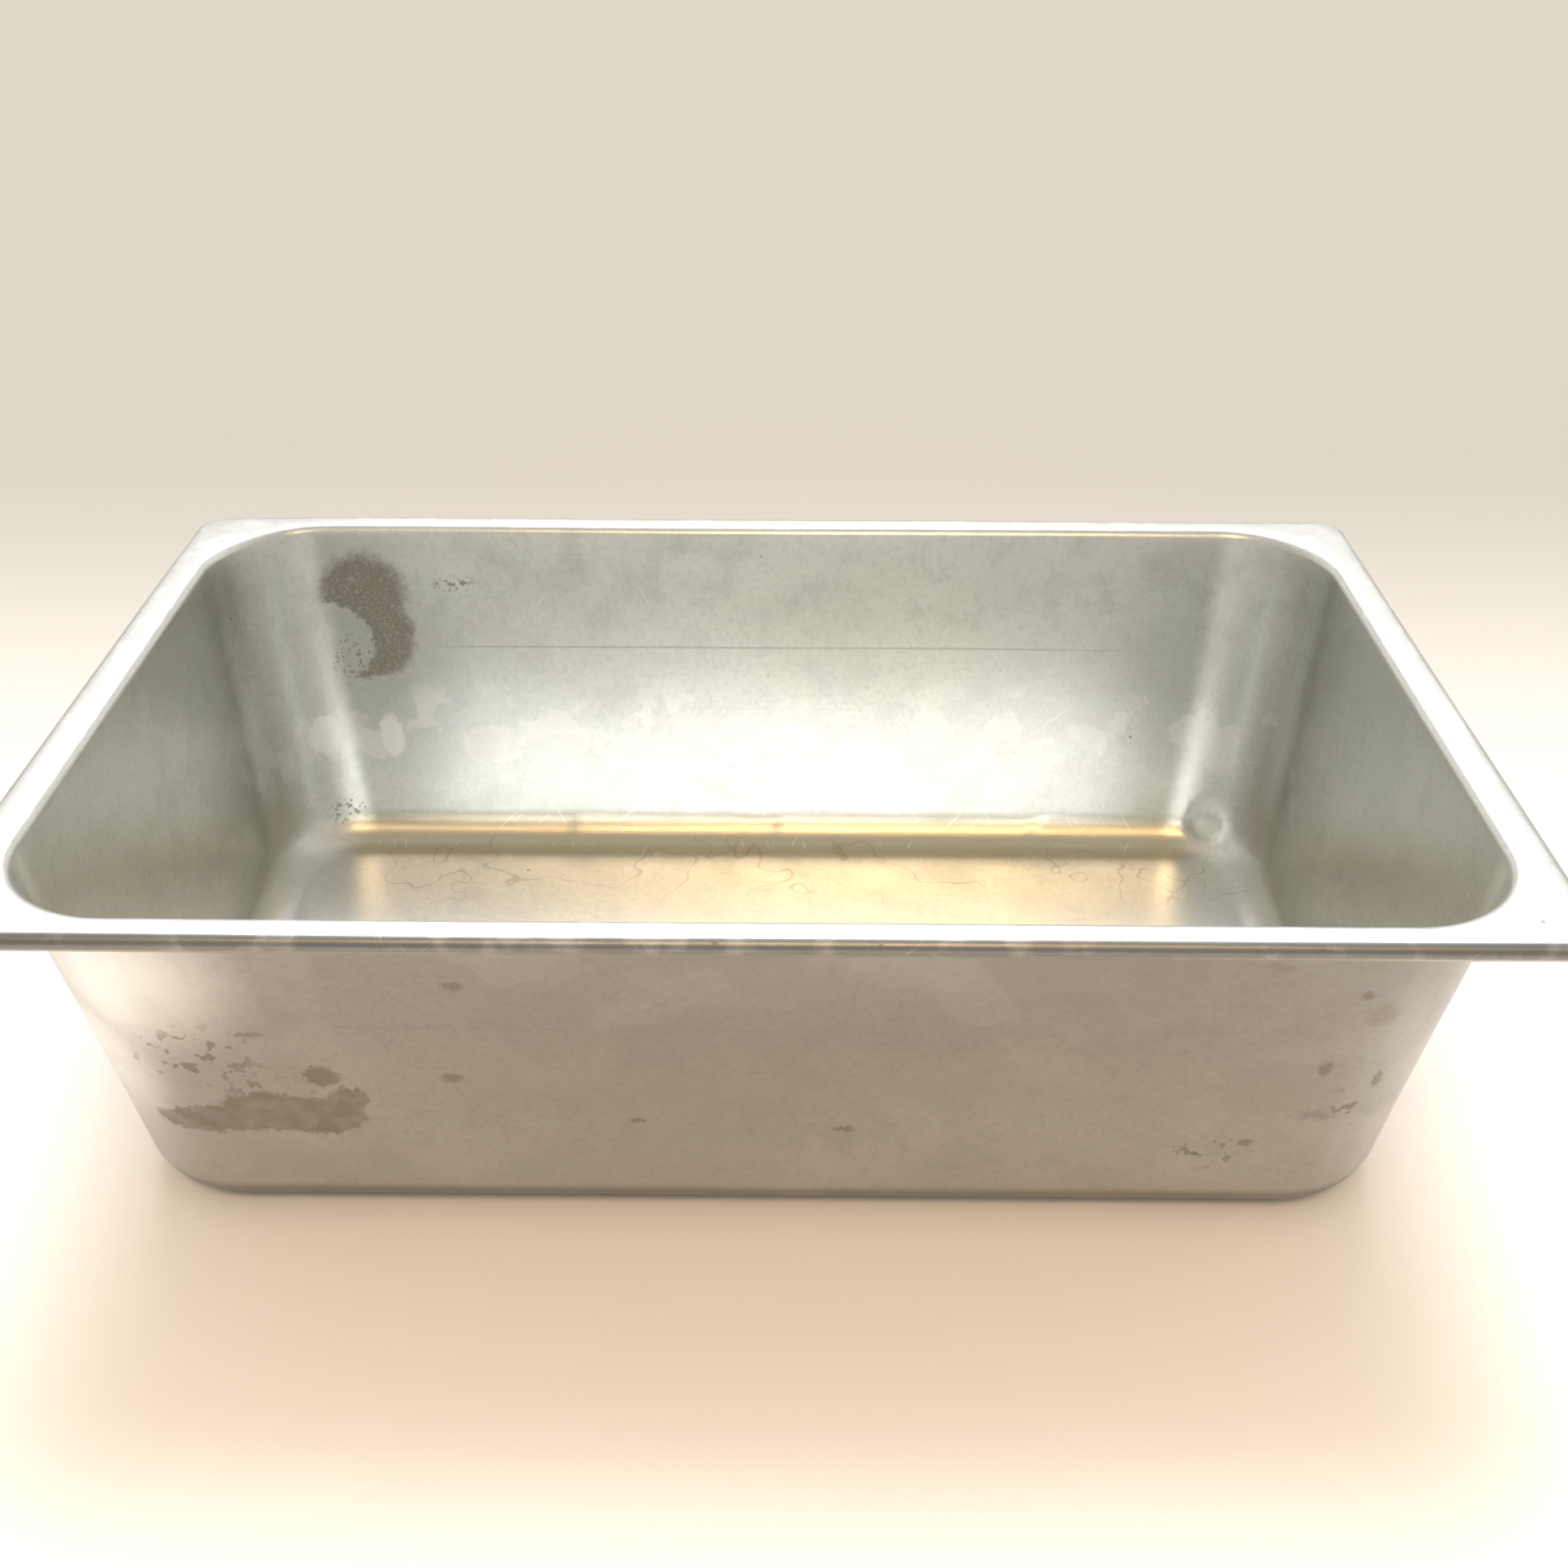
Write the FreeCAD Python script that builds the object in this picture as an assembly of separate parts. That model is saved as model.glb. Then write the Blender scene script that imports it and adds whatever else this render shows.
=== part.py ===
import FreeCAD, Part
import math
import os

# Deep rectangular pan drawn from a single sheet of stainless steel.
# Millimetres, +Z up. The origin is the centre of the base, on the plane it rests on.
# +X runs along the long side and +Y towards one long wall.

# Rim
RIM_LENGTH = 530.0  # along X, over the rolled edge
RIM_WIDTH = 325.0  # along Y, over the rolled edge
RIM_CORNER_RADIUS = 12.0  # in plan, over the rolled edge
END_FLANGE = 15.0  # reach of the flange beyond an end wall's outside, rolled edge included
SIDE_FLANGE = 12.0  # the same beyond a side wall
ROLL_RADIUS = 3.5  # outside of the rolled edge, in section
ROLL_TURN = 270.0  # degrees the edge is turned through: down, in and back up

# Walls
PAN_HEIGHT = 155.0  # resting plane to the top of the flange
END_DRAFT = 5.5  # degrees that an end wall leans in towards the base
SIDE_DRAFT = 9.5  # degrees that a side wall leans in towards the base
WALL_CORNER_RADIUS = 43.5  # outside, in plan, the same from flange to base

# Sheet and bends
SHEET = 0.8
LIP_BEND_RADIUS = 4.5  # flange into wall, on the face that shows
BASE_BEND_RADIUS = 19.0  # wall into base, on the outside


def rounded_outline(length, width, radius, z):
    """Closed outline of a rectangle with rounded corners, centred on the Z axis."""
    x = length / 2 - radius
    y = width / 2 - radius
    diagonal = radius * math.sqrt(0.5)
    edges = []
    for turn, (corner_x, corner_y) in enumerate([(x, y), (-x, y), (-x, -y), (x, -y)]):
        centre = FreeCAD.Vector(corner_x, corner_y, z)
        away = FreeCAD.Rotation(FreeCAD.Vector(0, 0, 1), 90 * turn)
        start = centre + away.multVec(FreeCAD.Vector(radius, 0, 0))
        middle = centre + away.multVec(FreeCAD.Vector(diagonal, diagonal, 0))
        end = centre + away.multVec(FreeCAD.Vector(0, radius, 0))
        if edges:
            edges.append(Part.makeLine(edges[-1].Vertexes[-1].Point, start))
        edges.append(Part.Arc(start, middle, end).toShape())
    edges.append(Part.makeLine(edges[-1].Vertexes[-1].Point, edges[0].Vertexes[0].Point))
    return Part.Wire(edges)


def wall_outline(z, inset):
    """Outline of the walls' outside at height z, moved in by inset square to each wall."""
    end_draft = math.radians(END_DRAFT)
    side_draft = math.radians(SIDE_DRAFT)
    drop = PAN_HEIGHT - z
    end_x = RIM_LENGTH / 2 - END_FLANGE - drop * math.tan(end_draft) - inset / math.cos(end_draft)
    side_y = RIM_WIDTH / 2 - SIDE_FLANGE - drop * math.tan(side_draft) - inset / math.cos(side_draft)
    return rounded_outline(2 * end_x, 2 * side_y, WALL_CORNER_RADIUS - inset, z)


def edges_along(shape, outline):
    """Edges of the shape that lie on the given outline."""
    found = []
    for edge in shape.Edges:
        middle = edge.valueAt((edge.FirstParameter + edge.LastParameter) / 2)
        probes = [middle] + [vertex.Point for vertex in edge.Vertexes]
        if all(outline.distToShape(Part.Vertex(probe))[0] < SHEET / 10 for probe in probes):
            found.append(edge)
    return found


def bowl(inset):
    """Solid block inside the walls and base moved in by inset, its lower edge rounded."""
    bottom = wall_outline(inset, inset)
    top = wall_outline(PAN_HEIGHT, inset)
    block = Part.makeLoft([bottom, top], True, True)
    return block.makeFillet(BASE_BEND_RADIUS - inset, edges_along(block, bottom))


def flange_plate():
    """Flat flange, out to where its edge begins to roll over."""
    length = RIM_LENGTH - 2 * ROLL_RADIUS
    width = RIM_WIDTH - 2 * ROLL_RADIUS
    corner_radius = RIM_CORNER_RADIUS - ROLL_RADIUS
    outline = rounded_outline(length, width, corner_radius, PAN_HEIGHT - SHEET)
    return Part.Face(outline).extrude(FreeCAD.Vector(0, 0, SHEET))


def drawn_pan():
    """Flange, lip, walls, foot bend and base, all one sheet thick."""
    block = bowl(0).fuse(flange_plate()).removeSplitter()
    under_flange = wall_outline(PAN_HEIGHT - SHEET, 0)
    block = block.makeFillet(LIP_BEND_RADIUS - SHEET, edges_along(block, under_flange))
    hollow = block.cut(bowl(SHEET))
    mouth = wall_outline(PAN_HEIGHT, SHEET)
    return hollow.makeFillet(LIP_BEND_RADIUS, edges_along(hollow, mouth))


def roll_section():
    """Section of the rolled edge in the XZ plane, its outermost point at X = 0."""
    bore_radius = ROLL_RADIUS - SHEET

    def on_roll(radius, turned):
        angle = math.radians(90 - turned)
        x = radius * math.cos(angle) - ROLL_RADIUS
        z = radius * math.sin(angle) - ROLL_RADIUS
        return FreeCAD.Vector(x, 0, PAN_HEIGHT + z)

    def arc(radius, start, end):
        middle = (start + end) / 2
        return Part.Arc(on_roll(radius, start), on_roll(radius, middle), on_roll(radius, end)).toShape()

    outside = arc(ROLL_RADIUS, 0, ROLL_TURN)
    tip = Part.makeLine(on_roll(ROLL_RADIUS, ROLL_TURN), on_roll(bore_radius, ROLL_TURN))
    inside = arc(bore_radius, ROLL_TURN, 0)
    root = Part.makeLine(on_roll(bore_radius, 0), on_roll(ROLL_RADIUS, 0))
    return Part.Face(Part.Wire([outside, tip, inside, root]))


def rolled_edge():
    """Rolled edge all round the flange: at each corner a quarter turn, then a straight run."""
    upright = FreeCAD.Vector(0, 0, 1)
    x = RIM_LENGTH / 2 - RIM_CORNER_RADIUS
    y = RIM_WIDTH / 2 - RIM_CORNER_RADIUS
    corners = [(x, y), (-x, y), (-x, -y), (x, -y)]
    run_lengths = [2 * x, 2 * y, 2 * x, 2 * y]
    pieces = []
    for turn in range(4):
        corner = FreeCAD.Vector(corners[turn][0], corners[turn][1], 0)
        section = roll_section()
        section.translate(corner + FreeCAD.Vector(RIM_CORNER_RADIUS, 0, 0))
        section.rotate(corner, upright, 90 * turn)
        pieces.append(section.revolve(corner, upright, 90))
        section.rotate(corner, upright, 90)
        along = FreeCAD.Rotation(upright, 90 * turn).multVec(FreeCAD.Vector(-1, 0, 0))
        pieces.append(section.extrude(along * run_lengths[turn]))
    return pieces


pan = drawn_pan().fuse(rolled_edge()).removeSplitter()
os.makedirs("parts", exist_ok=True)
pan.exportStep("parts/drawn_pan.step")
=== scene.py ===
import math

import bpy
import numpy as np
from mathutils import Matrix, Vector


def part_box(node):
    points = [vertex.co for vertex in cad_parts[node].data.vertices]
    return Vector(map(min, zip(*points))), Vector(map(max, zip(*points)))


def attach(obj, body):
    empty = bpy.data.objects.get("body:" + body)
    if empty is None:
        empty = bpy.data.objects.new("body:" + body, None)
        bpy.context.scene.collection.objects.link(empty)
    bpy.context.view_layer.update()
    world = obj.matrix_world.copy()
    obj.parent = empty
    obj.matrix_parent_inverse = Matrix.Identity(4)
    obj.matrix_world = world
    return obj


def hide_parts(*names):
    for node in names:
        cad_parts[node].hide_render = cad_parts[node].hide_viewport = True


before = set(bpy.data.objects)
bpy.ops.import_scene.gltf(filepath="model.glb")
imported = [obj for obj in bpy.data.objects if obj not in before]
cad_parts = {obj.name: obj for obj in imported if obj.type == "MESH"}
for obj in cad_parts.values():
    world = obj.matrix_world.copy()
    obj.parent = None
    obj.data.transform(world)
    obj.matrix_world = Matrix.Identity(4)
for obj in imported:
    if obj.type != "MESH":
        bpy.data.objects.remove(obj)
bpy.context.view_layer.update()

# The frame gives the pan's overall size. Lengths are in metres, angles in degrees.
NODE = "drawn_pan"
LOWEST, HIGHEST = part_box(NODE)
HALF_LENGTH = HIGHEST.x
HALF_WIDTH = HIGHEST.y
HEIGHT = HIGHEST.z

MM = 0.001
SHEET = 0.8 * MM
END_FLANGE = 15.0 * MM
SIDE_FLANGE = 12.0 * MM
RIM_CORNER = 12.0 * MM
ROLL = 3.5 * MM
END_DRAFT = 5.5
SIDE_DRAFT = 9.5
WALL_CORNER = 43.5 * MM
LIP_BEND = 4.5 * MM
BASE_BEND = 19.0 * MM

INSIDE, OUTSIDE, RIM = range(3)  # material slots of the shell

# Steps across the sheet's section, part by part, and round the pan
BEND_STEPS = 20
FACE_STEPS = 24
LIP_STEPS = 8
FLANGE_STEPS = 3
ROLL_STEPS = 16
ROLL_TURN = 270.0
CORNER_STEPS = 32
LONG_STEPS = 140
SHORT_STEPS = 36


# ---- Section of the sheet -------------------------------------------------------------

class Wall:
    """Section of one wall: reach from the pan's middle and height, at each kind of station."""

    def __init__(self, rim_reach, flange, draft):
        self.rim_reach = rim_reach
        self.draft = math.radians(draft)
        self.turn = math.pi / 2 - self.draft
        self.top = rim_reach - flange
        foot = self.line(0.0)
        self.bend_centre = foot - BASE_BEND * math.tan(self.turn / 2)
        face = self.top - SHEET / math.cos(self.draft)
        self.lip_centre = face + LIP_BEND * math.tan(self.turn / 2)

    def line(self, z):
        """Reach of the wall's outside face at height z."""
        return self.top - (HEIGHT - z) * math.tan(self.draft)

    def base_bend(self, share, radius):
        angle = share * self.turn
        return self.bend_centre + radius * math.sin(angle), BASE_BEND - radius * math.cos(angle)

    def lip(self, share, radius):
        angle = self.draft + share * self.turn
        height = HEIGHT - LIP_BEND + radius * math.sin(angle)
        return self.lip_centre - radius * math.cos(angle), height

    def face(self, share, lip_radius, bend_radius):
        foot = self.base_bend(1.0, bend_radius)
        head = self.lip(0.0, lip_radius)
        return tuple(a + share * (b - a) for a, b in zip(foot, head))

    def flange(self, share, z):
        return self.lip_centre + share * (self.rim_reach - ROLL - self.lip_centre), z

    def roll(self, turned, radius):
        angle = math.radians(90 - turned)
        height = HEIGHT - ROLL + radius * math.sin(angle)
        return self.rim_reach - ROLL + radius * math.cos(angle), height


END = Wall(HALF_LENGTH, END_FLANGE, END_DRAFT)
SIDE = Wall(HALF_WIDTH, SIDE_FLANGE, SIDE_DRAFT)


def wall_corner_radius(end, side):
    """Plan radius of the upright corner for a station on the bend, wall or lip."""
    inset = (END.line(end[1]) - end[0] + SIDE.line(side[1]) - side[0]) / 2
    return WALL_CORNER - inset


def roll_corner_radius(end):
    return RIM_CORNER - (HALF_LENGTH - end[0])


def both(method, *values):
    return getattr(END, method)(*values), getattr(SIDE, method)(*values)


def section_stations():
    """Stations over the sheet, from the floor's edge up inside, over the rim and down outside.

    Each is (end point, side point, plan corner radius, material slot)."""
    inner_bend = BASE_BEND - SHEET
    stations = []

    def wall_station(points, slot):
        stations.append((*points, wall_corner_radius(*points), slot))

    def flange_station(share, z):
        end, side = both("flange", share, z)
        tangent = wall_corner_radius(*both("flange", 0.0, z))
        radius = tangent + share * (RIM_CORNER - ROLL - tangent)
        stations.append((end, side, radius, RIM))

    def roll_station(i, sheet_radius):
        end, side = both("roll", ROLL_TURN * i / ROLL_STEPS, sheet_radius)
        stations.append((end, side, roll_corner_radius(end), RIM))

    for i in range(BEND_STEPS):
        wall_station(both("base_bend", i / BEND_STEPS, inner_bend), INSIDE)
    for i in range(FACE_STEPS):
        share = (i / FACE_STEPS) ** 1.15  # a little denser near the foot
        wall_station(both("face", share, LIP_BEND, inner_bend), INSIDE)
    for i in range(LIP_STEPS):
        wall_station(both("lip", i / LIP_STEPS, LIP_BEND), INSIDE if i < LIP_STEPS // 2 else RIM)
    for i in range(FLANGE_STEPS):
        flange_station(i / FLANGE_STEPS, HEIGHT)
    for i in range(ROLL_STEPS + 1):
        roll_station(i, ROLL)
    for i in range(ROLL_STEPS, 0, -1):
        roll_station(i, ROLL - SHEET)
    for i in range(FLANGE_STEPS, 0, -1):
        flange_station(i / FLANGE_STEPS, HEIGHT - SHEET)
    for i in range(LIP_STEPS, 0, -1):
        slot = RIM if i > LIP_STEPS // 2 else OUTSIDE
        wall_station(both("lip", i / LIP_STEPS, LIP_BEND - SHEET), slot)
    for i in range(FACE_STEPS, 0, -1):
        wall_station(both("face", i / FACE_STEPS, LIP_BEND - SHEET, BASE_BEND), OUTSIDE)
    for i in range(BEND_STEPS, -1, -1):
        wall_station(both("base_bend", i / BEND_STEPS, BASE_BEND), OUTSIDE)
    return stations


# ---- Loop round the pan ---------------------------------------------------------------

def loop_places():
    """Places round the loop: (quarter, share along its straight run, degrees round its corner).

    Each quarter is half of a corner, a straight wall and half of the next corner, so that the
    four quarters match the four sides of the floor's grid."""
    places = []
    for quarter in range(4):
        steps = SHORT_STEPS if quarter % 2 == 0 else LONG_STEPS
        half = CORNER_STEPS // 2
        places += [(quarter, -1.0, -45 + 45 * i / half) for i in range(half)]
        places += [(quarter, -1 + 2 * i / steps, 0.0) for i in range(steps)]
        places += [(quarter, 1.0, 45 * i / half) for i in range(half)]
    return places


def loop_point(place, end, side, radius):
    """Point of one station at one place round the loop."""
    quarter, share, degrees = place
    reach = (end if quarter % 2 == 0 else side)[0]
    across = (side if quarter % 2 == 0 else end)[0]
    angle = math.radians(degrees)
    outward = reach - radius + radius * math.cos(angle)
    along = share * (across - radius) + radius * math.sin(angle)
    blend = abs(math.sin(angle)) ** 2 if degrees else 0.0
    here, there = (end[1], side[1]) if quarter % 2 == 0 else (side[1], end[1])
    z = here + blend * (there - here)
    x, y = [(outward, along), (-along, outward), (-outward, -along), (along, -outward)][quarter]
    return x, y, z


def floor_grid(edge):
    """Points inside a closed edge, blended from its four sides, row by row."""
    across = CORNER_STEPS + SHORT_STEPS
    along = CORNER_STEPS + LONG_STEPS
    right = edge[:across + 1]
    back = edge[across:across + along + 1][::-1]
    left = edge[across + along:2 * across + along + 1][::-1]
    front = np.vstack([edge[2 * across + along:], edge[:1]])
    u = np.linspace(0, 1, along + 1)[:, None, None]
    v = np.linspace(0, 1, across + 1)[None, :, None]
    sides = (1 - u) * left[None] + u * right[None] + (1 - v) * front[:, None] + v * back[:, None]
    corners = (
        (1 - u) * (1 - v) * left[0] + u * (1 - v) * right[0]
        + (1 - u) * v * left[-1] + u * v * right[-1]
    )
    return sides - corners


# ---- Wear that shows in the shape -----------------------------------------------------

DENT_CENTRE = np.array([END.line(0) - 20 * MM, SIDE.line(0) - 4.5 * MM, 13.5 * MM])
DENT_RADIUS = 12.5 * MM
DENT_DEPTH = 2.4 * MM
DENT_PUSH = np.array([-0.36, -0.61, 0.71])  # into the pan and up
CREASE_WIDTH = 3.5 * MM
# Creases in the rear bend, each (x, lean, step in millimetres)
CREASES = [(0.128, 0.8, 0.5), (0.002, 0.1, 0.35), (-0.016, 0.0, -0.3), (-0.098, 0.3, 0.25)]
CORNER_SAG = 1.1 * MM
CORNER_SAG_REACH = 50.0 * MM


def smooth(x):
    x = np.clip(x, 0, 1)
    return x * x * (3 - 2 * x)


def dented(points):
    """Moves for the dent at the right end of the rear bend."""
    away = np.linalg.norm(points - DENT_CENTRE, axis=1) / DENT_RADIUS
    return smooth((1 - away) / 0.5)[:, None] * DENT_DEPTH * DENT_PUSH


def creased(x, y, z):
    """Moves in and up along the rear bend, where it steps by a fraction of a millimetre."""
    on_bend = smooth((y - SIDE.bend_centre) / (4 * MM)) * smooth((17 * MM - z) / (6 * MM))
    whole = np.zeros_like(x)
    for at, lean, step in CREASES:
        side_of = (x - at - lean * (z - 8 * MM)) / CREASE_WIDTH
        fade = np.exp(-np.clip(side_of, 0, None) / 6)
        whole += on_bend * smooth(side_of) * fade * step * MM
    return whole


def bowed(x, y, z):
    """Moves outwards of the end and side walls, a few tenths of a millimetre at mid-height."""
    free = smooth((z - 16 * MM) / (30 * MM)) * smooth((HEIGHT - 8 * MM - z) / (30 * MM))
    long_wave = 0.28 * np.sin(x * 19 + 0.8) + 0.18 * np.sin(x * 41 + z * 26 + 2.0)
    short_wave = 0.22 * np.sin(y * 27 + 1.1) + 0.15 * np.sin(y * 50 - z * 33)
    on_side = smooth((np.abs(y) - 100 * MM) / (20 * MM))
    on_end = smooth((np.abs(x) - 205 * MM) / (20 * MM))
    return np.sign(x) * on_end * free * short_wave * MM, np.sign(y) * on_side * free * long_wave * MM


def crowned(x, y, z):
    """Moves upwards of the base, which is highest near its middle."""
    flat = np.clip(1 - (x / 0.215) ** 2, 0, 1) * np.clip(1 - (y / 0.105) ** 2, 0, 1)
    return np.where(z < 2 * MM, flat * (0.45 + 0.2 * np.sin(x * 30) * np.cos(y * 34)) * MM, 0)


def sagged(x, y, z):
    """Moves downwards of the flange, most at the rear left corner."""
    on_rim = smooth((z - HEIGHT + 12 * MM) / (8 * MM))
    corner = np.hypot(x + HALF_LENGTH, y - HALF_WIDTH)
    everywhere = 0.12 * MM * (1 + np.sin(x * 23 + y * 17))
    return on_rim * (everywhere + CORNER_SAG * np.exp(-(corner / CORNER_SAG_REACH) ** 2))


def worn(points):
    """Points moved by what use has done to the pan, and kept inside the CAD's height."""
    x, y, z = points.T
    end_bow, side_bow = bowed(x, y, z)
    crease = creased(x, y, z)
    moved = dented(points)
    moved[:, 0] += end_bow
    moved[:, 1] += side_bow - crease
    moved[:, 2] += crease + crowned(x, y, z) - sagged(x, y, z)
    kept = points + moved
    kept[:, 2] = np.clip(kept[:, 2], LOWEST.z, HIGHEST.z)
    return kept


# ---- Shell ----------------------------------------------------------------------------

def sheet_faces(stations, count):
    """Faces and slots between each station's ring of points and the next one's."""
    faces, slots = [], []
    for row in range(len(stations) - 1):
        a, b = row * count, (row + 1) * count
        for i in range(count):
            j = (i + 1) % count
            faces.append((a + i, b + i, b + j, a + j))
            slots.append(stations[row][3])
    return faces, slots


def floor_index(ring, first_new):
    """Point numbers of a floor's grid: the ring's own round its edge, and new ones inside."""
    across, along = CORNER_STEPS + SHORT_STEPS, CORNER_STEPS + LONG_STEPS
    index = np.full((along + 1, across + 1), -1)
    index[along, :] = ring[:across + 1]
    index[::-1, across] = ring[across:across + along + 1]
    index[0, ::-1] = ring[across + along:2 * across + along + 1]
    index[:, 0] = np.append(ring[2 * across + along:], ring[0])
    inner = index < 0
    index[inner] = first_new + np.arange(inner.sum())
    return index, inner


def floor_faces(index, slot):
    faces = []
    for i in range(index.shape[0] - 1):
        for j in range(index.shape[1] - 1):
            face = (index[i, j], index[i + 1, j], index[i + 1, j + 1], index[i, j + 1])
            faces.append(face if slot == INSIDE else face[::-1])
    return faces


def pan_shell():
    """The whole sheet as one closed mesh of four-sided faces."""
    places = loop_places()
    stations = section_stations()
    count = len(places)
    rows = [
        np.array([loop_point(place, end, side, radius) for place in places])
        for end, side, radius, _ in stations
    ]
    faces, slots = sheet_faces(stations, count)
    points = np.vstack(rows)
    for row, slot in ((0, INSIDE), (len(rows) - 1, OUTSIDE)):
        index, inner = floor_index(row * count + np.arange(count), len(points))
        points = np.vstack([points, floor_grid(rows[row])[inner]])
        floor = floor_faces(index, slot)
        faces += floor
        slots += [slot] * len(floor)

    mesh = bpy.data.meshes.new("instrument_tray")
    mesh.from_pydata(worn(points).tolist(), [], [tuple(int(k) for k in face) for face in faces])
    mesh.polygons.foreach_set("material_index", slots)
    mesh.polygons.foreach_set("use_smooth", [True] * len(faces))
    mesh.update()
    shell = bpy.data.objects.new("instrument_tray", mesh)
    bpy.context.scene.collection.objects.link(shell)
    return shell


# ---- Steel ----------------------------------------------------------------------------

PARTS = ("inside", "outside", "rim")  # in the order of the shell's material slots
# Colours of one steel: the inside's lighter and the outside's darker colour are painted light and
# shade.
STEEL_LIT_AND_SHADED = {
    "inside": (0.71, 0.72, 0.695),
    "outside": (0.50, 0.495, 0.475),
    "rim": (0.52, 0.52, 0.50),
}
ROUGHNESS = {"inside": 0.23, "outside": 0.25, "rim": 0.33}
STAIN = (0.19, 0.17, 0.128, 1.0)
# STRAW is painted warm shade in the rear bend
STRAW = (0.43, 0.385, 0.27, 1.0)
PALE = (0.92, 0.92, 0.90, 1.0)

# How strongly the dull film and painted shade, the pale deposits and painted sheen, and the scratches
# change each part's colour
DULLING_AND_PAINTED_SHADE = {"inside": 0.32, "outside": 0.62, "rim": 0.8}
PALE_AND_PAINTED_SHEEN = {"inside": 0.6, "outside": 0.75, "rim": 0.55}
SCRATCHED = {"inside": 0.28, "outside": 0.05, "rim": 0.1}
STAINED = 0.85
SCRATCH_LEANS = ((38, 0.01), (-55, 0.0))  # each (degrees, how many more of them)

EDGE_SCALE = 0.26  # unevenness of the large marks' edges, per millimetre
EDGE_PUSH = 12.0  # and how far it moves them, in millimetres
INSIDE_DRAW_LINE = 98.0  # heights and half lengths of the faint lines, in millimetres
OUTSIDE_DRAW_LINE = 102.0
INSIDE_LINE_REACH = 190.0
OUTSIDE_LINE_REACH = 210.0

# Marks on the long walls, each (x, z, reach in x, reach in z) in millimetres
REAR_PATCH = [(-191, 123, 24, 23), (-181, 102, 16, 22), (-192, 86, 12, 5)]
REAR_CLEANED = [(-214, 99, 28, 22)]
REAR_SPECKS = [(-207, 16, 12, 9), (-148, 128, 12, 5), (-198, 92, 14, 14)]
REAR_PALE = [(-214, 55, 9, 11), (-183, 53, 6, 13), (-134, 49, 17, 11)]
FRONT_BAR = [
    (-192, 53, 24, 8), (-173, 57, 19, 12), (-155, 55, 18, 11), (-151, 76, 7, 6), (-144, 64, 8, 7),
]
FRONT_SCATTER = [(-192, 86, 30, 22), (-170, 70, 24, 9), (205, 62, 10, 20), (160, 38, 18, 12)]
FRONT_BLOTS = [
    (-172, 98, 7, 1.6), (-106, 76, 6, 3.5), (-100, 123, 5, 3), (199, 121, 3, 3), (193, 84, 3, 5),
    (213, 77, 2.5, 7), (173, 43, 3.5, 2.5), (-43, 54, 4, 2), (30, 50, 6, 2),
]
# The next list is a painted sheen: brighter patches at the left end of the front wall's outside
FRONT_PAINTED_SHEEN = [(-215, 122, 60, 50), (-235, 80, 40, 60)]
FRONT_SMUDGES = [(206, 113, 8, 9), (168, 134, 9, 5), (195, 59, 12, 4)]
REAR, FRONT = 1, -1  # the long walls' sides of the pan
WALL_REACH = 40.0  # how deep a mark's ellipsoid goes through its wall


class Graph:
    """The node tree of a material or world, with short calls for the nodes used here."""

    def __init__(self, owner):
        owner.use_nodes = True
        self.tree = owner.node_tree
        self.tree.nodes.clear()

    def node(self, kind, settings=None, **inputs):
        made = self.tree.nodes.new(kind)
        for name, value in (settings or {}).items():
            setattr(made, name, value)
        for name, value in inputs.items():
            self.plug(made.inputs[name.replace("_", " ")], value)
        return made

    def plug(self, socket, value):
        if isinstance(value, bpy.types.NodeSocket):
            self.tree.links.new(value, socket)
        else:
            socket.default_value = value

    def math(self, operation, *values):
        made = self.tree.nodes.new("ShaderNodeMath")
        made.operation = operation
        for socket, value in zip(made.inputs, values):
            self.plug(socket, value)
        return made.outputs[0]

    def vector(self, operation, *values):
        made = self.tree.nodes.new("ShaderNodeVectorMath")
        made.operation = operation
        for socket, value in zip(made.inputs, values):
            self.plug(socket, value)
        return made.outputs["Value" if operation == "LENGTH" else "Vector"]

    def step(self, value, low, high):
        """0 below low, 1 above high and smooth between; low above high turns it round."""
        settings = {"interpolation_type": "SMOOTHSTEP"}
        made = self.node("ShaderNodeMapRange", settings, Value=value, From_Min=low, From_Max=high)
        return made.outputs[0]

    def noise(self, vector, scale, detail=2.0, roughness=0.5, colour=False):
        made = self.node(
            "ShaderNodeTexNoise", Vector=vector, Scale=scale, Detail=detail, Roughness=roughness
        )
        return made.outputs["Color" if colour else 0]

    def blend(self, factor, a, b):
        """Colour a turning to colour b as the factor goes from 0 to 1."""
        made = self.tree.nodes.new("ShaderNodeMix")
        made.data_type = "RGBA"
        self.plug(made.inputs["Factor"], factor)
        colours = [socket for socket in made.inputs if socket.type == "RGBA"]
        self.plug(colours[0], a)
        self.plug(colours[1], b)
        return next(socket for socket in made.outputs if socket.type == "RGBA")


def millimetres(g):
    """Place on the object in millimetres."""
    place = g.node("ShaderNodeTexCoord").outputs["Object"]
    return g.vector("MULTIPLY", place, (1000.0, 1000.0, 1000.0))


def ragged(g, place, scale, amount):
    """The place pushed about by noise, so that a mark's edge is uneven."""
    noise = g.noise(place, scale, detail=5.0, roughness=0.8, colour=True)
    push = g.vector("SUBTRACT", noise, (0.5, 0.5, 0.5))
    return g.vector("ADD", place, g.vector("MULTIPLY", push, (amount, amount, amount)))


def blot(g, place, centre, reach, softness=0.25):
    """Mask of one ellipsoid mark."""
    offset = g.vector("SUBTRACT", place, centre)
    away = g.vector("LENGTH", g.vector("DIVIDE", offset, reach))
    return g.step(away, 1.0, 1.0 - softness)


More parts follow.
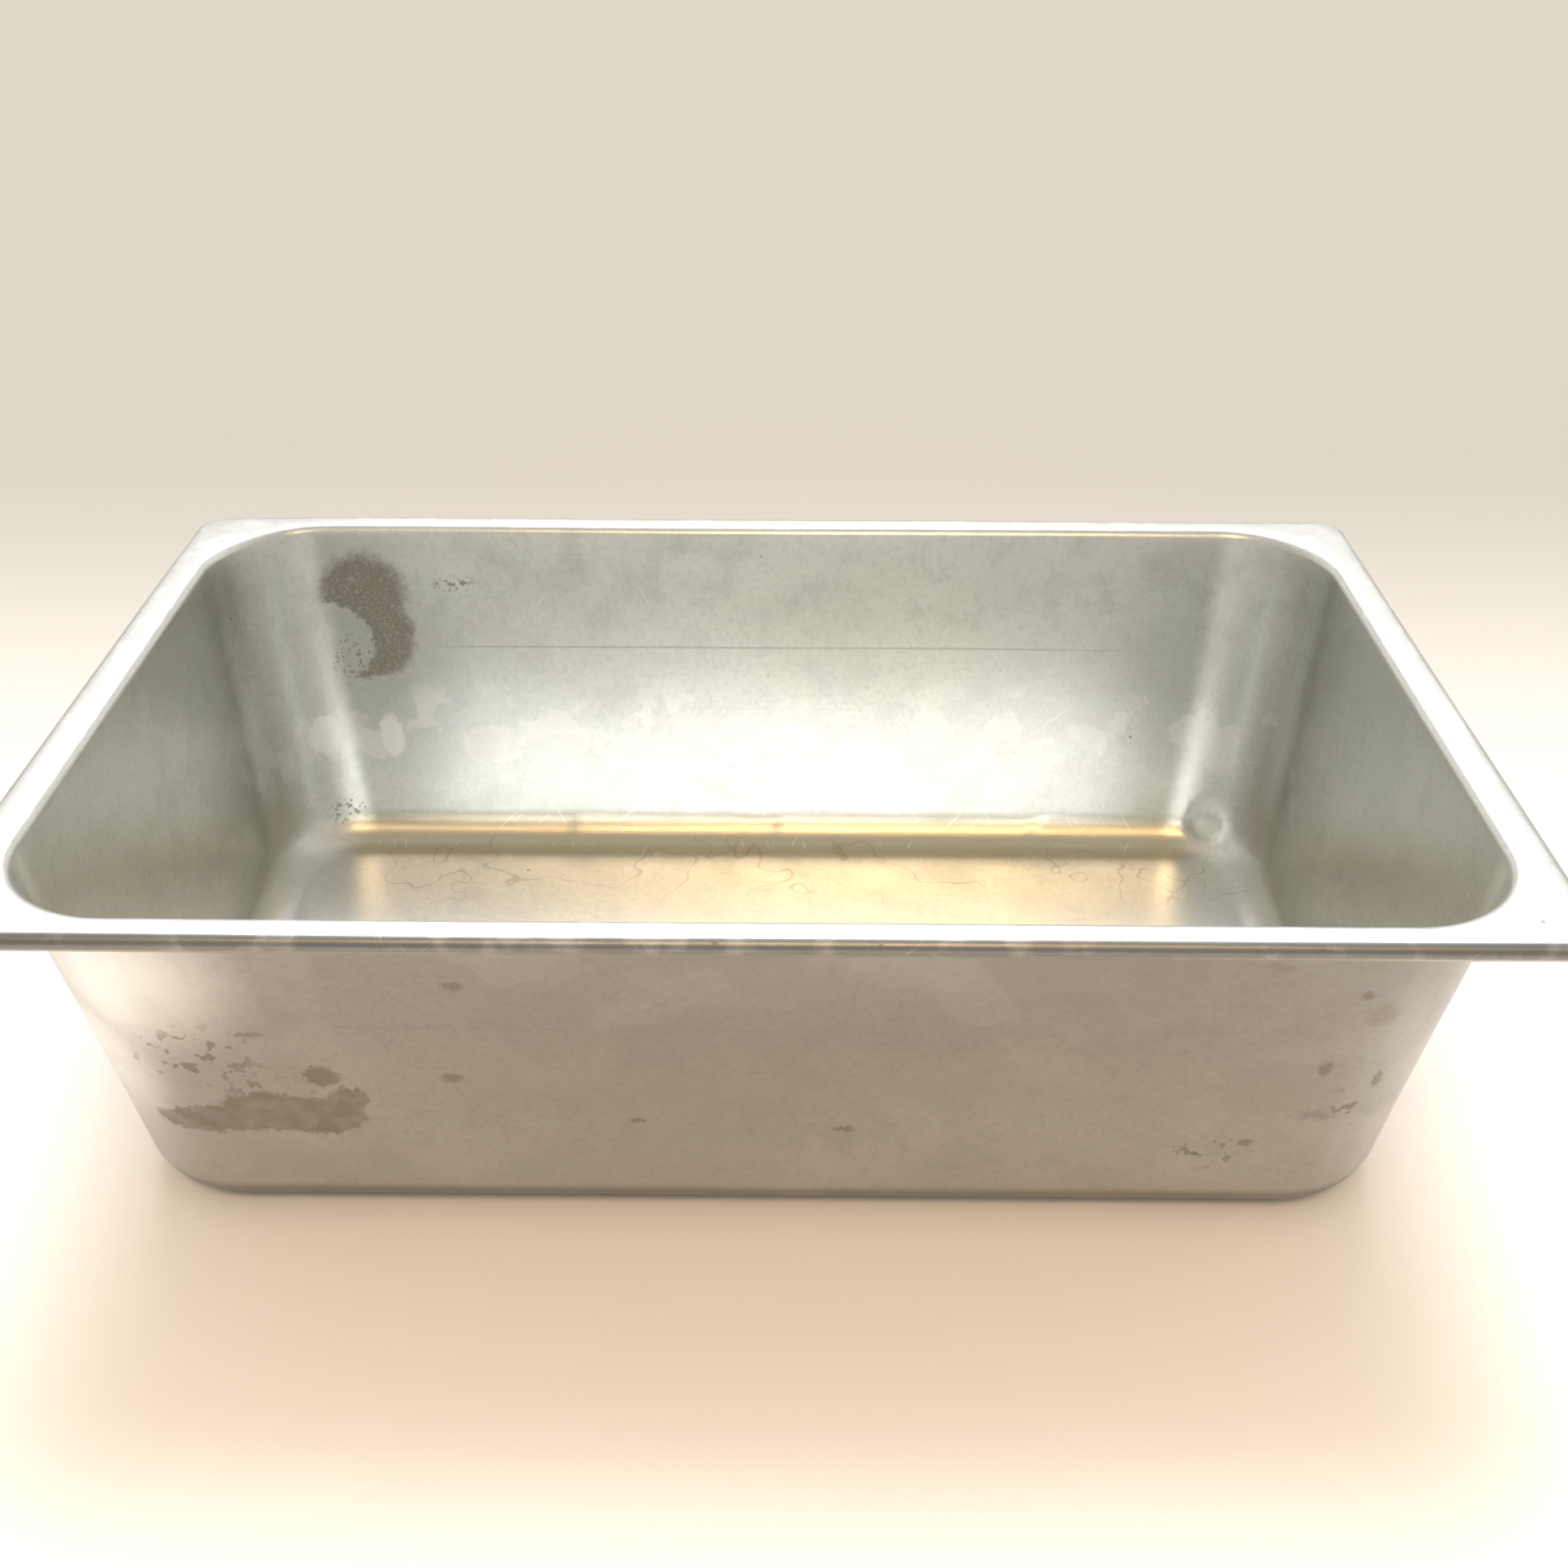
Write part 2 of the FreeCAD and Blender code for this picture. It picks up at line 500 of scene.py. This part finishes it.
def wall_blots(g, place, marks, side, softness=0.25):
    """Mask of marks on a long wall, each (x, z, reach in x, reach in z) in millimetres."""
    masks = []
    for x, z, wide, high in marks:
        y = side * SIDE.line(z * MM) / MM
        masks.append(blot(g, place, (x, y, z), (wide, WALL_REACH, high), softness))
    return most(g, *masks)


def times(g, *masks):
    whole = masks[0]
    for mask in masks[1:]:
        whole = g.math("MULTIPLY", whole, mask)
    return whole


def most(g, *masks):
    whole = masks[0]
    for mask in masks[1:]:
        whole = g.math("MAXIMUM", whole, mask)
    return whole


def band(g, value, low, high, fade):
    return times(g, g.step(value, low - fade, low + fade), g.step(value, high + fade, high - fade))


def patches(g, place, scale, low, high, detail=2.0, roughness=0.5):
    """Irregular patches: where noise of a scale per millimetre rises from low to high."""
    return g.step(g.noise(place, scale, detail, roughness), low, high)


def grain(g, place):
    """Fine drawing lines, which run round the walls and along the base."""
    turned = g.node("ShaderNodeTexCoord").outputs["Normal"]
    facing_x = g.math("ABSOLUTE", g.node("ShaderNodeSeparateXYZ", Vector=turned).outputs["X"])
    along = g.noise(g.vector("MULTIPLY", place, (0.02, 1.3, 1.3)), 1.0, detail=3.0)
    across = g.noise(g.vector("MULTIPLY", place, (1.3, 0.02, 1.3)), 1.0, detail=3.0)
    on_end = g.step(facing_x, 0.5, 0.9)
    kept = g.math("MULTIPLY", along, g.math("SUBTRACT", 1.0, on_end))
    return g.math("MULTIPLY_ADD", across, on_end, kept)


def scratches(g, place, turn, amount):
    """Short bright lines, leaning by a turn about the Y axis."""
    settings = {"rotation_type": "Y_AXIS"}
    turned = g.node("ShaderNodeVectorRotate", settings, Vector=place, Angle=math.radians(turn))
    drawn_out = g.vector("MULTIPLY", turned.outputs[0], (0.035, 0.1, 1.1))
    return g.step(g.noise(drawn_out, 1.0, detail=0.0), 0.80 - amount, 0.84 - amount)


def specks(g, place, spacing, size, share):
    """Small round pits: a share of the cells of a coarse pattern have one each."""
    cells = g.node("ShaderNodeTexVoronoi", Vector=place, Scale=1.0 / spacing)
    chosen = g.node("ShaderNodeSeparateColor", Color=cells.outputs["Color"]).outputs[0]
    small = g.step(cells.outputs["Distance"], size / spacing, 0.5 * size / spacing)
    return g.math("MULTIPLY", small, g.step(chosen, 1.0 - share, 1.0 - share + 0.02))


def tide_marks(g, place, scale, width):
    """Thin wandering outlines left by dried water."""
    level = g.noise(place, scale, detail=3.0, roughness=0.55)
    away = g.math("ABSOLUTE", g.math("SUBTRACT", level, 0.5))
    return g.step(away, width, width * 0.4)


def draw_line(g, x, z, height, half_length):
    """The faint line along a wall where the press stopped between its two draws."""
    away = g.math("ABSOLUTE", g.math("SUBTRACT", z, height))
    along = g.step(g.math("ABSOLUTE", x), half_length, half_length * 0.6)
    return times(g, g.step(away, 0.7, 0.25), along)


def inside_marks(g, place, axes):
    """Masks of the brown stains, pale deposits and dull film inside the pan."""
    x, y, z = axes
    uneven_place = ragged(g, place, EDGE_SCALE, EDGE_PUSH)
    rear = g.step(y, 60.0, 80.0)

    patch = wall_blots(g, uneven_place, REAR_PATCH, REAR, 0.35)
    cleaned = wall_blots(g, uneven_place, REAR_CLEANED, REAR, 0.1)
    speckled = g.math("MULTIPLY_ADD", patches(g, place, 0.8, 0.28, 0.52, 3.0), 0.32, 0.6)
    brown = times(g, patch, g.math("SUBTRACT", 1.0, cleaned), speckled)
    low_rear = times(g, g.step(y, 60.0, 85.0), g.step(z, 8.0, 1.0))
    tide = times(g, tide_marks(g, place, 0.012, 0.004), low_rear, 0.3)
    cluster = times(g, wall_blots(g, place, REAR_SPECKS, REAR, 0.6), patches(g, place, 0.5, 0.56, 0.6))
    pits = times(g, specks(g, place, 16.0, 1.0, 0.3), patches(g, place, 0.02, 0.4, 0.6))
    stain = most(g, brown, tide, times(g, most(g, cluster, pits), 0.8))

    cloudy = patches(g, place, 0.045, 0.53, 0.58, 4.0)
    low_band = times(g, cloudy, band(g, z, 38.0, 78.0, 8.0), rear, 0.55)
    pale = most(g, wall_blots(g, uneven_place, REAR_PALE, REAR), low_band)

    high_cloud = times(g, patches(g, place, 0.05, 0.5, 0.62, 5.0), g.step(z, 99.0, 112.0), rear, 0.3)
    dull_and_painted_shade = most(g, high_cloud, draw_line(g, x, z, INSIDE_DRAW_LINE, INSIDE_LINE_REACH))
    return stain, pale, dull_and_painted_shade


def painted_bend_shade(g, axes):
    """Mask of the straw-coloured painted shade along the rear bend."""
    x, y, z = axes
    between_corners = g.step(g.math("ABSOLUTE", x), 225.0, 195.0)
    return times(g, g.step(y, 104.0, 110.0), g.step(z, 16.0, 10.0), between_corners)


def outside_marks(g, place, axes):
    """Masks of the stains, the pale deposits with a painted sheen, and the painted shade outside the
    pan.
    """
    x, y, z = axes
    uneven_place = ragged(g, place, EDGE_SCALE, EDGE_PUSH)
    front = g.step(y, -60.0, -80.0)

    mottled = g.math("MULTIPLY_ADD", patches(g, place, 0.12, 0.3, 0.65, 5.0), 0.35, 0.6)
    bar = times(g, wall_blots(g, uneven_place, FRONT_BAR, FRONT, 0.2), mottled)
    scattered = patches(g, place, 0.2, 0.575, 0.61, 3.0)
    spots = times(g, wall_blots(g, place, FRONT_SCATTER, FRONT, 0.7), scattered)
    blots = wall_blots(g, ragged(g, place, 0.5, 9.0), FRONT_BLOTS, FRONT, 0.6)
    smudges = wall_blots(g, ragged(g, place, 0.1, 14.0), FRONT_SMUDGES, FRONT, 0.8)
    pits = times(g, specks(g, place, 15.0, 1.1, 0.3), patches(g, place, 0.015, 0.42, 0.6))
    murky = times(g, patches(g, place, 0.018, 0.5, 0.68, 6.0, 0.6), 0.16)
    clear = times(g, most(g, spots, blots), 0.8)
    faint = times(g, most(g, smudges, pits), 0.45)
    stain = most(g, bar, clear, faint, murky)

    cloudy = times(g, patches(g, place, 0.03, 0.55, 0.62, 4.0), 0.07)
    # Painted sheen at the left end of the front wall
    painted_sheen = times(g, wall_blots(g, uneven_place, FRONT_PAINTED_SHEEN, FRONT, 0.9), front)
    pale = most(g, cloudy, painted_sheen)

    # Painted shade: the outside darker towards the top of its walls
    painted_top_shade = times(g, g.step(z, 10.0, HEIGHT / MM), 0.8)
    # Painted shade in the outside's base bend
    foot = g.step(z, 17.0, 10.5)
    line = draw_line(g, x, z, OUTSIDE_DRAW_LINE, OUTSIDE_LINE_REACH)
    return stain, pale, g.math("MULTIPLY_ADD", line, 0.06, most(g, painted_top_shade, foot))


def rim_marks(g, place, axes):
    """Masks for the flange and roll: stains, pale clouds, and a painted dark reflection on the roll's
    outer face.
    """
    _, y, z = axes
    corner_spot = (-HALF_LENGTH / MM + 5.0, -HALF_WIDTH / MM, HEIGHT / MM - 4.0)
    spot = blot(g, ragged(g, place, 0.5, 3.0), corner_spot, (4.0, 6.0, 5.0), 0.5)
    stain = most(g, times(g, specks(g, place, 13.0, 1.2, 0.25), 0.7), spot)
    pale = times(g, patches(g, place, 0.08, 0.5, 0.65, 4.0), 0.2)
    roll_start = (HALF_WIDTH - ROLL) / MM
    roll_height = (HEIGHT - ROLL) / MM
    # Painted dark reflection on the roll's outer face
    outer_face = g.step(g.math("ABSOLUTE", y), roll_start + 0.2, roll_start + 1.0)
    above = g.step(z, roll_height - 2.0, roll_height - 0.5)
    return stain, pale, times(g, outer_face, above)


MARKS = {"inside": inside_marks, "outside": outside_marks, "rim": rim_marks}


def shade(colour, amount):
    return (*(c * amount for c in colour), 1.0)


def steel_colour(g, part, place, mottle, lines):
    """The part's steel colour, lighter inside and darker outside as painted light and shade, with its
    clouding and drawing lines.
    """
    base = STEEL_LIT_AND_SHADED[part]
    cloud = patches(g, place, 0.011, 0.3, 0.7, 4.0, 0.6)
    fine = patches(g, place, 0.4, 0.4, 0.8)
    colour = g.blend(cloud, shade(base, 0.94), shade(base, 1.05))
    colour = g.blend(times(g, g.step(mottle, 0.45, 0.75), 0.7), colour, shade(base, 0.86))
    colour = g.blend(times(g, fine, 0.5), colour, shade(base, 0.8))
    return g.blend(times(g, lines, 0.12), colour, shade(base, 0.6))


def steel(part):
    """Drawn steel with its grain, clouding, scratches, the marks of one part of the pan and its
    painted light and shade.
    """
    material = bpy.data.materials.new("worn_and_painted_steel_" + part)
    g = Graph(material)
    place = millimetres(g)
    axes = tuple(g.node("ShaderNodeSeparateXYZ", Vector=place).outputs)
    stain, pale, dull_and_painted_shade = MARKS[part](g, place, axes)
    mottle = g.noise(place, 0.06, detail=6.0, roughness=0.6)
    lines = grain(g, place)
    scratch = most(g, *(scratches(g, place, turn, amount) for turn, amount in SCRATCH_LEANS))

    colour = steel_colour(g, part, place, mottle, lines)
    # Darkening: on the outside and the rim it is painted shade and a painted dark reflection, inside
    # dull film and the draw line
    colour = g.blend(times(g, dull_and_painted_shade, DULLING_AND_PAINTED_SHADE[part]), colour, shade(STEEL_LIT_AND_SHADED[part], 0.25))
    # On the outside this pale blend also paints a sheen
    colour = g.blend(times(g, pale, PALE_AND_PAINTED_SHEEN[part]), colour, PALE)
    if part == "inside":
        # Painted warm shade along the rear bend
        colour = g.blend(times(g, painted_bend_shade(g, axes), 0.85), colour, STRAW)
    colour = g.blend(times(g, scratch, SCRATCHED[part]), colour, PALE)
    colour = g.blend(times(g, stain, STAINED), colour, STAIN)

    rough = g.math("MULTIPLY_ADD", mottle, 0.16, ROUGHNESS[part])
    rough = g.math("MULTIPLY_ADD", pale, 0.10, rough)
    rough = g.math("MULTIPLY_ADD", stain, 0.16, rough)
    metal = g.math("MULTIPLY_ADD", stain, -0.35, 1.0)

    height = g.math("MULTIPLY_ADD", g.noise(place, 1.4), 0.5, lines)
    bump = g.node("ShaderNodeBump", Strength=0.11, Distance=0.0004, Height=height)
    shader = g.node(
        "ShaderNodeBsdfPrincipled",
        Base_Color=colour, Metallic=metal, Roughness=rough, Normal=bump.outputs[0],
    )
    g.node("ShaderNodeOutputMaterial", Surface=shader.outputs[0])
    return material


tray = pan_shell()
for part in PARTS:
    tray.data.materials.append(steel(part))
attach(tray, "root")
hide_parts(NODE)


# ---- Floor, light and camera ----------------------------------------------------------

TABLE = (0.88, 0.835, 0.785, 1.0)
TABLE_REACH = 6.0
TABLE_DROP = 0.3 * MM  # keeps the table just clear of the base
WALL_LIGHT = (0.99, 0.965, 0.885, 1.0)
ROOM_LIGHT = (0.69, 0.65, 0.575, 1.0)

# Each (name, place, target, size, power in watts, spread in degrees, colour)
LIGHTS = [
    ("window", (0.0, 0.54, 1.2), (0.0, -0.36, 0.0), (2.3, 0.9), 6.9, 44.0, (1.0, 1.0, 1.04)),
    ("room", (0.0, -1.25, 1.45), (0.0, -0.5, 0.0), (1.4, 0.6), 2.0, 36.0, (1.0, 0.70, 0.43)),
    ("lamp", (0.13, -0.72, 0.85), (0.05, 0.17, 0.05), (0.36, 0.2), 0.065, 26.0, (1.0, 0.63, 0.24)),
]

# The photograph's viewpoint, solved from the rim's edges and the base's outline
CAMERA_PLACE = (0.0098, -0.5846, 0.4792)
CAMERA_TURN = (57.74975, -0.21143, 0.36340)
CAMERA_LENS = 39.578
CAMERA_SENSOR = 36.0


def make_floor():
    mesh = bpy.data.meshes.new("floor")
    corners = [(-1, -1), (1, -1), (1, 1), (-1, 1)]
    points = [(x * TABLE_REACH, y * TABLE_REACH, -TABLE_DROP) for x, y in corners]
    mesh.from_pydata(points, [], [(0, 1, 2, 3)])
    material = bpy.data.materials.new("pale_table")
    g = Graph(material)
    shader = g.node("ShaderNodeBsdfPrincipled", Base_Color=TABLE, Roughness=0.6)
    g.node("ShaderNodeOutputMaterial", Surface=shader.outputs[0])
    mesh.materials.append(material)
    floor = bpy.data.objects.new("floor", mesh)
    bpy.context.scene.collection.objects.link(floor)


def area_light(name, place, target, size, power, spread, colour):
    data = bpy.data.lights.new(name, "AREA")
    data.shape = "RECTANGLE"
    data.size, data.size_y = size
    data.energy = power
    data.spread = math.radians(spread)
    data.color = colour
    light = bpy.data.objects.new(name, data)
    light.location = place
    light.rotation_euler = (Vector(target) - Vector(place)).to_track_quat("-Z", "Y").to_euler()
    bpy.context.scene.collection.objects.link(light)


def set_world():
    """A pale wall's light from behind the pan, and a dimmer, warmer room in front of it."""
    world = bpy.data.worlds.new("studio")
    g = Graph(world)
    direction = g.node("ShaderNodeTexCoord").outputs["Generated"]
    towards_wall = g.node("ShaderNodeSeparateXYZ", Vector=direction).outputs["Y"]
    colour = g.blend(g.step(towards_wall, -0.35, 0.45), ROOM_LIGHT, WALL_LIGHT)
    background = g.node("ShaderNodeBackground", Color=colour, Strength=1.0)
    g.node("ShaderNodeOutputWorld", Surface=background.outputs[0])
    bpy.context.scene.world = world


def set_camera():
    data = bpy.data.cameras.new("camera")
    data.sensor_width = CAMERA_SENSOR
    data.lens = CAMERA_LENS
    camera = bpy.data.objects.new("camera", data)
    camera.location = CAMERA_PLACE
    camera.rotation_euler = [math.radians(angle) for angle in CAMERA_TURN]
    bpy.context.scene.collection.objects.link(camera)
    bpy.context.scene.camera = camera


make_floor()
set_world()
for light in LIGHTS:
    area_light(*light)
set_camera()
bpy.context.scene.view_settings.view_transform = "Standard"
